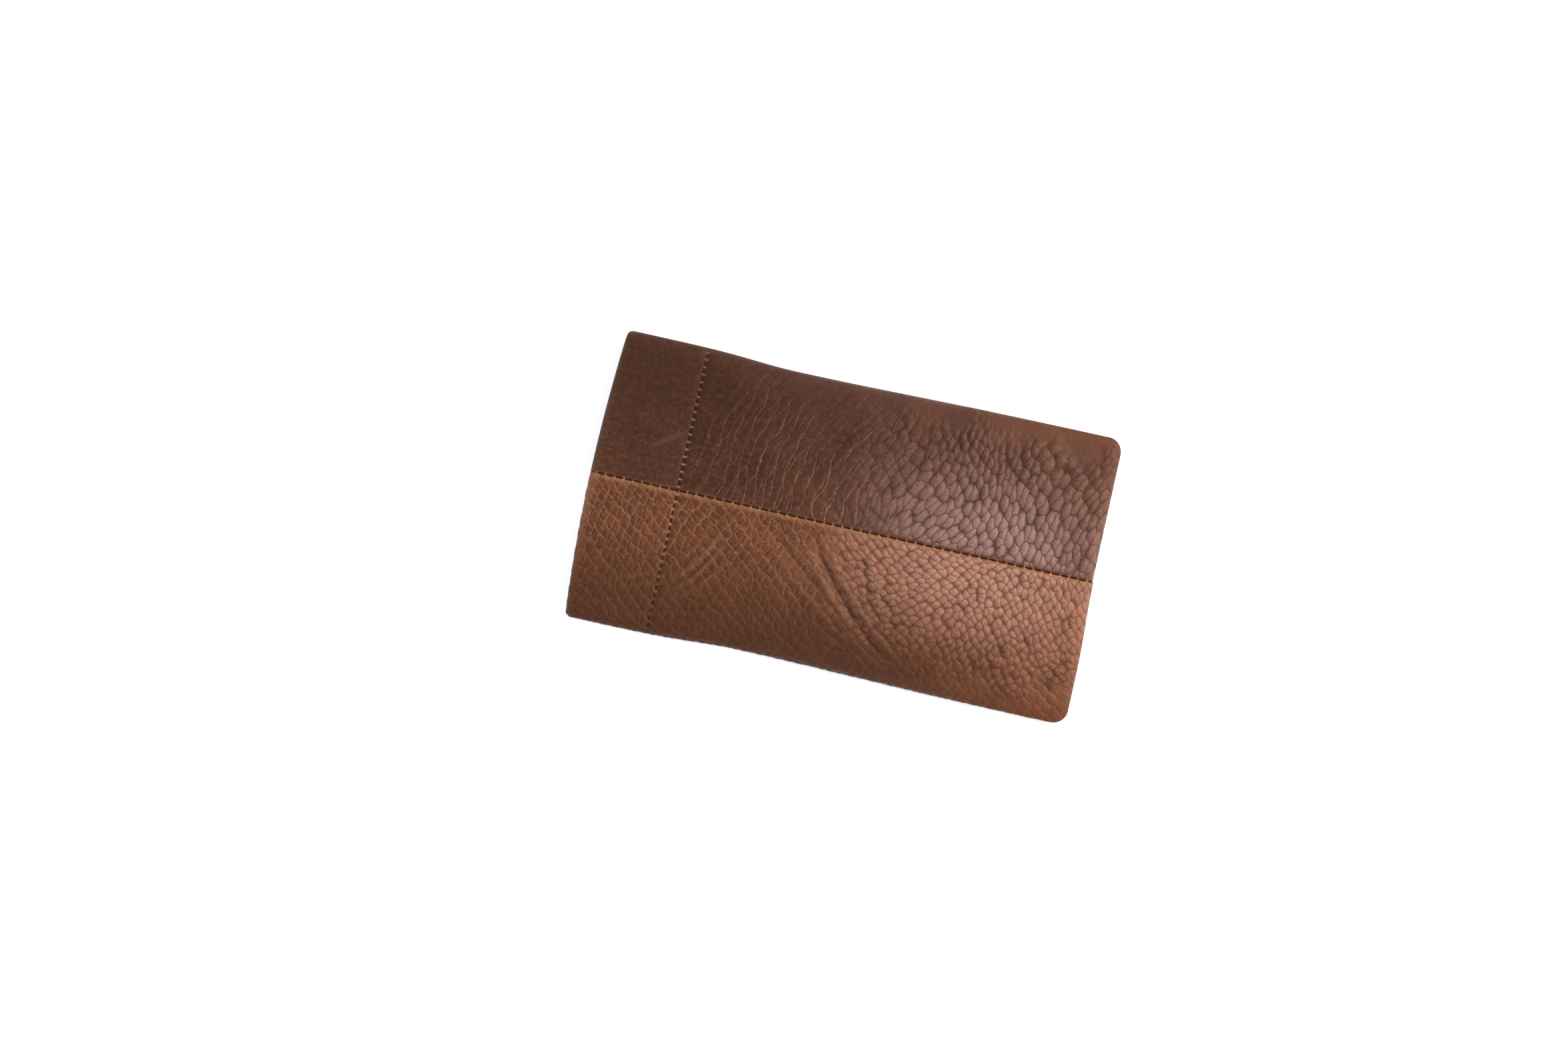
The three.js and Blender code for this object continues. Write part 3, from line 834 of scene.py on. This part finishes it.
def leather(slot):
    look = LOOKS[slot]
    material, nodes, shader = new_material(slot)
    at = leather_fields(nodes, slot)
    colour = grain_colour_with_painted_light(nodes, look, at)
    colour = worn_colour(nodes, look, at, colour)
    colour = seam_colour(nodes, look, at, colour)
    colour = polish_and_painted_light_colour(nodes, look, at, colour)
    nodes.feed(shader.inputs["Base Color"], colour)
    nodes.feed(shader.inputs["Roughness"], leather_roughness(nodes, at))
    nodes.feed(shader.inputs["Normal"], leather_bump(nodes, at))
    shader.inputs["Specular IOR Level"].default_value = SPECULAR_LEVEL
    shader.inputs["Specular Tint"].default_value = SPECULAR_TINT
    return material


def flesh_side():
    """The rough inside of the leather, and its cut edges."""
    material, nodes, shader = new_material("flesh_side")
    place = nodes.add("ShaderNodeTexCoord").outputs["Object"]
    fuzz = nodes.noise(place, 900.0, 6.0, 0.7)[0]
    cloud = nodes.noise(place, 60.0, 3.0, 0.5)[0]
    colour = nodes.mix_colour(cloud, (0.235, 0.132, 0.075, 1), (0.33, 0.20, 0.125, 1))
    fluffed = nodes.times(nodes.smooth(fuzz, 0.35, 0.7), 0.45)
    colour = nodes.mix_colour(fluffed, colour, (0.42, 0.28, 0.19, 1))
    nodes.feed(shader.inputs["Base Color"], colour)
    nodes.feed(shader.inputs["Roughness"], nodes.plus(0.82, nodes.times(fuzz, 0.15)))
    shader.inputs["Sheen Weight"].default_value = 0.35
    shader.inputs["Sheen Roughness"].default_value = 0.6
    bump = nodes.add("ShaderNodeBump", {"Height": nodes.times(fuzz, 0.00012), "Distance": 1.0})
    nodes.feed(shader.inputs["Normal"], bump.outputs[0])
    return material


def waxed_thread():
    material, nodes, shader = new_material("waxed_thread")
    place = nodes.add("ShaderNodeTexCoord").outputs["Object"]
    strands = nodes.noise(place, 2600.0, 3.0, 0.6)[0]
    soil = nodes.noise(place, 170.0, 2.0, 0.5)[0]
    colour = nodes.mix_colour(strands, (0.0085, 0.0040, 0.0022, 1), (0.026, 0.012, 0.0065, 1))
    soiled = nodes.times(nodes.smooth(soil, 0.5, 0.75), 0.4)
    colour = nodes.mix_colour(soiled, colour, (0.045, 0.020, 0.010, 1))
    nodes.feed(shader.inputs["Base Color"], colour)
    nodes.feed(shader.inputs["Roughness"], nodes.plus(0.6, nodes.times(strands, 0.3)))
    shader.inputs["Specular IOR Level"].default_value = 0.15
    bump = nodes.add("ShaderNodeBump", {"Height": nodes.times(strands, 0.00006), "Distance": 1.0})
    nodes.feed(shader.inputs["Normal"], bump.outputs[0])
    return material


def spring_steel():
    material, nodes, shader = new_material("rolled_spring_steel")
    place = nodes.add("ShaderNodeTexCoord").outputs["Object"]
    stretched = nodes.vector("MULTIPLY", place, (5200.0, 160.0, 2600.0))
    lines = nodes.noise(stretched, 1.0, 4.0, 0.6)[0]
    stain = nodes.noise(place, 220.0, 3.0, 0.6)[0]
    colour = nodes.mix_colour(lines, (0.42, 0.43, 0.45, 1), (0.60, 0.60, 0.61, 1))
    stained = nodes.times(nodes.smooth(stain, 0.55, 0.8), 0.5)
    colour = nodes.mix_colour(stained, colour, (0.30, 0.25, 0.20, 1))
    nodes.feed(shader.inputs["Base Color"], colour)
    nodes.feed(shader.inputs["Roughness"], nodes.plus(0.24, nodes.times(lines, 0.22)))
    shader.inputs["Metallic"].default_value = 1.0
    bump = nodes.add("ShaderNodeBump", {"Height": nodes.times(lines, 0.00001), "Distance": 1.0})
    nodes.feed(shader.inputs["Normal"], bump.outputs[0])
    return material


MATERIALS = {
    "dark_leather": leather("dark_leather"),
    "light_leather": leather("light_leather"),
    "flesh": flesh_side(),
    "thread": waxed_thread(),
    "spring_steel": spring_steel(),
}


# ---------------------------------------------------------------- making the pieces

RELIEFS = {slot: grain_geometry(slot) for slot in GRAINS}


def leather_panel(face_name, side_name):
    """One panel: its grain side as a grid, raised by the grain, then given the leather's thickness."""
    face, side = FACES[face_name], SIDES[side_name]
    slot = "dark_leather" if side == UPPER else "light_leather"
    points, places = panel_points(side, face, PANEL_STEP[face_name])
    rows, columns = points.shape[:2]
    mesh = to_mesh(f"{face_name}_{side_name}_leather", points, grid_faces(rows, columns, side * face > 0))
    store_vector(mesh, "place", places)
    store_vector(mesh, "finish", finish(points, places, side, face))
    piece = new_object(mesh.name, mesh)
    raised = piece.modifiers.new("grain", "NODES")
    raised.node_group = RELIEFS[slot]
    apply_modifiers(piece)
    piece.data.materials.append(MATERIALS[slot])
    piece.data.materials.append(MATERIALS["flesh"])
    group = piece.vertex_groups.new(name="thickness")
    index = np.arange(rows * columns).reshape(rows, columns)
    turned_side = index[:, -len(EDGE_TURNS):].ravel().tolist()
    turned_end = index[-len(END_TURNS):].ravel().tolist()
    group.add(index.ravel().tolist(), 1.0, "REPLACE")
    group.add(index[:HEM_ROWS].ravel().tolist(), HEM_LEATHER / LEATHER, "REPLACE")
    group.add(turned_side + turned_end, LIP_LEATHER / LEATHER, "REPLACE")
    shell = piece.modifiers.new("thickness", "SOLIDIFY")
    shell.thickness = LEATHER * MM
    shell.offset = -1
    shell.vertex_group = group.name
    shell.material_offset = 1
    shell.material_offset_rim = 1
    apply_modifiers(piece)
    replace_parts(piece, f"{face_name}_{side_name}_panel")
    return piece


def surface_height(x, y, side, face):
    """Height of a panel's smooth surface with its relief, from the seam plane."""
    part = y / half_width(x)
    full = crown(x, face) - SEAM_GAP - SEAM_LIP
    return SEAM_GAP + SEAM_LIP + full * side_round(x, part, face) + relief(x, y, side, face)


def stitches(name, holes, outward):
    """A row of twisted stitches, each from one pair of holes to the next, arching outward."""
    rings, corners = 11, 10
    points, faces = [], []
    for start, end in holes:
        run = end - start
        ahead = run / np.linalg.norm(run)
        aside = np.cross(outward, ahead)
        base = len(points)
        for ring in range(rings):
            share = ring / (rings - 1)
            arch = math.sin(math.pi * share) ** 0.6
            centre = start + run * share + outward * (STITCH_ARCH * arch - STITCH_SUNK)
            taper = 0.55 + 0.45 * math.sin(math.pi * share) ** 0.5
            for corner in range(corners):
                turn = 2 * math.pi * corner / corners
                twist = 1 + 0.16 * math.cos(2 * turn + 2 * math.pi * share * 2.2)
                radius = THREAD_RADIUS * taper * twist
                points.append(centre + radius * (math.cos(turn) * aside + math.sin(turn) * outward))
        faces.append([base + corner for corner in range(corners)])
        last = base + (rings - 1) * corners
        faces.append([last + corner for corner in reversed(range(corners))])
        for ring in range(rings - 1):
            for corner in range(corners):
                a = base + ring * corners + corner
                b = base + ring * corners + (corner + 1) % corners
                faces.append([a, a + corners, b + corners, b])
    mesh = to_mesh(name, points, faces)
    mesh.materials.append(MATERIALS["thread"])
    piece = new_object(name, mesh)
    return piece


def centre_row(face_name):
    face = FACES[face_name]
    holes = []
    for x in stitch_places(*CENTRE_ROW, CENTRE_PITCH):
        ends = []
        for shift in (-CENTRE_STITCH / 2, CENTRE_STITCH / 2):
            at = np.array(x + shift)
            height = float(crown(at, face)) - CENTRE_THREAD_DEPTH - float(groove(at))
            ends.append(np.array([x + shift, 0.0, SEAM_PLANE + face * height]))
        holes.append(ends)
    piece = stitches(f"{face_name}_centre_thread", holes, np.array([0.0, 0.0, face]))
    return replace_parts(piece, f"{face_name}_centre_stitching")


def channel_row(face_name, side_name):
    face, side = FACES[face_name], SIDES[side_name]
    holes = []
    for y in stitch_places(*CHANNEL_ROW, CHANNEL_PITCH):
        ends = []
        for shift in (-CHANNEL_STITCH / 2, CHANNEL_STITCH / 2):
            at = np.array(CHANNEL_X)
            height = float(surface_height(at, np.array(y + shift), side, face)) + CHANNEL_THREAD_LIFT
            ends.append(np.array([CHANNEL_X, side * (y + shift), SEAM_PLANE + face * height]))
        holes.append(ends)
    piece = stitches(f"{face_name}_{side_name}_channel_thread", holes, np.array([0.0, 0.0, face]))
    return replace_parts(piece, f"{face_name}_{side_name}_channel_stitching")


def hidden_row(name, span, place):
    """Stitches inside a turned seam, through both panels' edges."""
    half = 0.36 * CENTRE_PITCH
    holes = [(place(at - half), place(at + half)) for at in stitch_places(*span, CENTRE_PITCH)]
    return stitches(name, holes, np.array([0.0, 0.0, 1.0]))


def side_row(side_name):
    side = SIDES[side_name]
    low, high = (np.array(corner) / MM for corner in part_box(f"{side_name}_side_stitching"))
    last = min(high[0], UPPER_END - BOTTOM_CORNER - CENTRE_PITCH)

    def place(x):
        return np.array([x, side * (float(half_width(np.array(x))) - EDGE_THREAD_INSET), SEAM_PLANE])

    piece = hidden_row(f"{side_name}_side_thread", (low[0], last), place)
    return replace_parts(piece, f"{side_name}_side_stitching")


def bottom_row():
    low, high = (np.array(corner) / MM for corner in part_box("bottom_stitching"))
    x = (low[0] + high[0]) / 2

    def place(y):
        return np.array([x, y, SEAM_PLANE])

    piece = hidden_row("bottom_thread", (low[1], high[1]), place)
    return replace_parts(piece, "bottom_stitching")


def blend_across(piece, face_name):
    """Bakes the piece's placement into its mesh; both faces are treated the same."""
    if face_name == "front":
        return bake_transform(piece)
    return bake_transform(piece)


def spring_leaf(face_name, side_name):
    """Half of a leaf: the CAD solid's own shape, cut into short lengths."""
    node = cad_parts[f"{face_name}_{side_name}_spring_leaf"]
    shape = bmesh.new()
    shape.from_mesh(node.data)
    for y in np.arange(LEAF_LOW[1] + LEAF_STEP, LEAF_HIGH[1], LEAF_STEP):
        geometry = shape.verts[:] + shape.edges[:] + shape.faces[:]
        cut = Vector((0, SIDES[side_name] * y * MM, 0))
        bmesh.ops.bisect_plane(shape, geom=geometry, dist=1e-7, plane_co=cut, plane_no=(0, 1, 0))
    mesh = bpy.data.meshes.new(node.name)
    shape.to_mesh(mesh)
    shape.free()
    piece = new_object(f"{face_name}_{side_name}_leaf", mesh)
    piece.matrix_world = node.matrix_world
    piece.data.materials.clear()
    piece.data.materials.append(MATERIALS["spring_steel"])
    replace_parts(piece, node.name)
    return piece


def build():
    for face_name in FACES:
        for side_name in SIDES:
            blend_across(leather_panel(face_name, side_name), face_name)
            blend_across(channel_row(face_name, side_name), face_name)
            blend_across(spring_leaf(face_name, side_name), face_name)
        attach(centre_row(face_name), "front_upper" if face_name == "front" else "back")
    for side_name in SIDES:
        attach(side_row(side_name), f"{side_name}_edge")
        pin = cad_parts[f"{side_name}_hinge_pin"]
        pin.data.materials.clear()
        pin.data.materials.append(MATERIALS["spring_steel"])
    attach(bottom_row(), "back")


# ---------------------------------------------------------------- stage, camera and light

CAMERA_HEIGHT = 0.804
CAMERA_TURN = math.radians(12.5)
CAMERA_AIM = (-0.0219, 0.0018)


FLOOR_SIZE = 3.0
FLOOR_HEIGHT = -0.0003


def add_floor():
    """A white floor that gives off light of its own, which keeps the pouch's shadow faint."""
    turns = [(-1, -1), (1, -1), (1, 1), (-1, 1)]
    corners = [(x * FLOOR_SIZE, y * FLOOR_SIZE, FLOOR_HEIGHT) for x, y in turns]
    mesh = bpy.data.meshes.new("floor")
    mesh.from_pydata(corners, [], [(0, 1, 2, 3)])
    floor = new_object("floor", mesh)
    material, _, shader = new_material("floor_white")
    shader.inputs["Base Color"].default_value = (0.93, 0.935, 0.94, 1)
    shader.inputs["Roughness"].default_value = 0.7
    shader.inputs["Emission Color"].default_value = (0.94, 0.97, 1.0, 1)
    shader.inputs["Emission Strength"].default_value = 0.5
    mesh.materials.append(material)


def add_camera():
    data = bpy.data.cameras.new("camera")
    data.lens = 50
    data.sensor_width = 36
    camera = new_object("camera", data)
    right = Vector((math.cos(CAMERA_TURN), math.sin(CAMERA_TURN), 0))
    up = Vector((-math.sin(CAMERA_TURN), math.cos(CAMERA_TURN), 0))
    camera.location = right * CAMERA_AIM[0] + up * CAMERA_AIM[1] + Vector((0, 0, CAMERA_HEIGHT))
    camera.rotation_euler = (0, 0, CAMERA_TURN)
    bpy.context.scene.camera = camera


def add_light(name, place, size, power):
    """A soft square light, in watts, that looks at the middle of the pouch."""
    data = bpy.data.lights.new(name, "AREA")
    data.shape = "RECTANGLE"
    data.size, data.size_y = size
    data.energy = power
    light = new_object(name, data)
    light.location = place
    light.rotation_euler = (-Vector(place)).to_track_quat("-Z", "Y").to_euler()


def add_lights():
    world = bpy.data.worlds.new("studio")
    world.use_nodes = True
    nodes = Nodes(world.node_tree)
    upward = nodes.separate(nodes.add("ShaderNodeTexCoord").outputs["Generated"])[2]
    background = world.node_tree.nodes["Background"]
    background.inputs["Color"].default_value = (0.93, 0.96, 1.0, 1)
    nodes.feed(background.inputs["Strength"], nodes.smooth(upward, 0.45, 0.95, 0.8, 0.14))
    bpy.context.scene.world = world
    add_light("key", (0.80, 0.50, 0.56), (0.5, 0.5), 20.0)
    add_light("overhead", (0.50, 0.20, 0.95), (0.30, 0.30), 4.0)
    add_light("fill", (-0.80, -0.25, 0.65), (0.8, 0.9), 4.5)


bpy.context.scene.view_settings.view_transform = "Standard"
add_camera()
add_floor()
add_lights()
build()
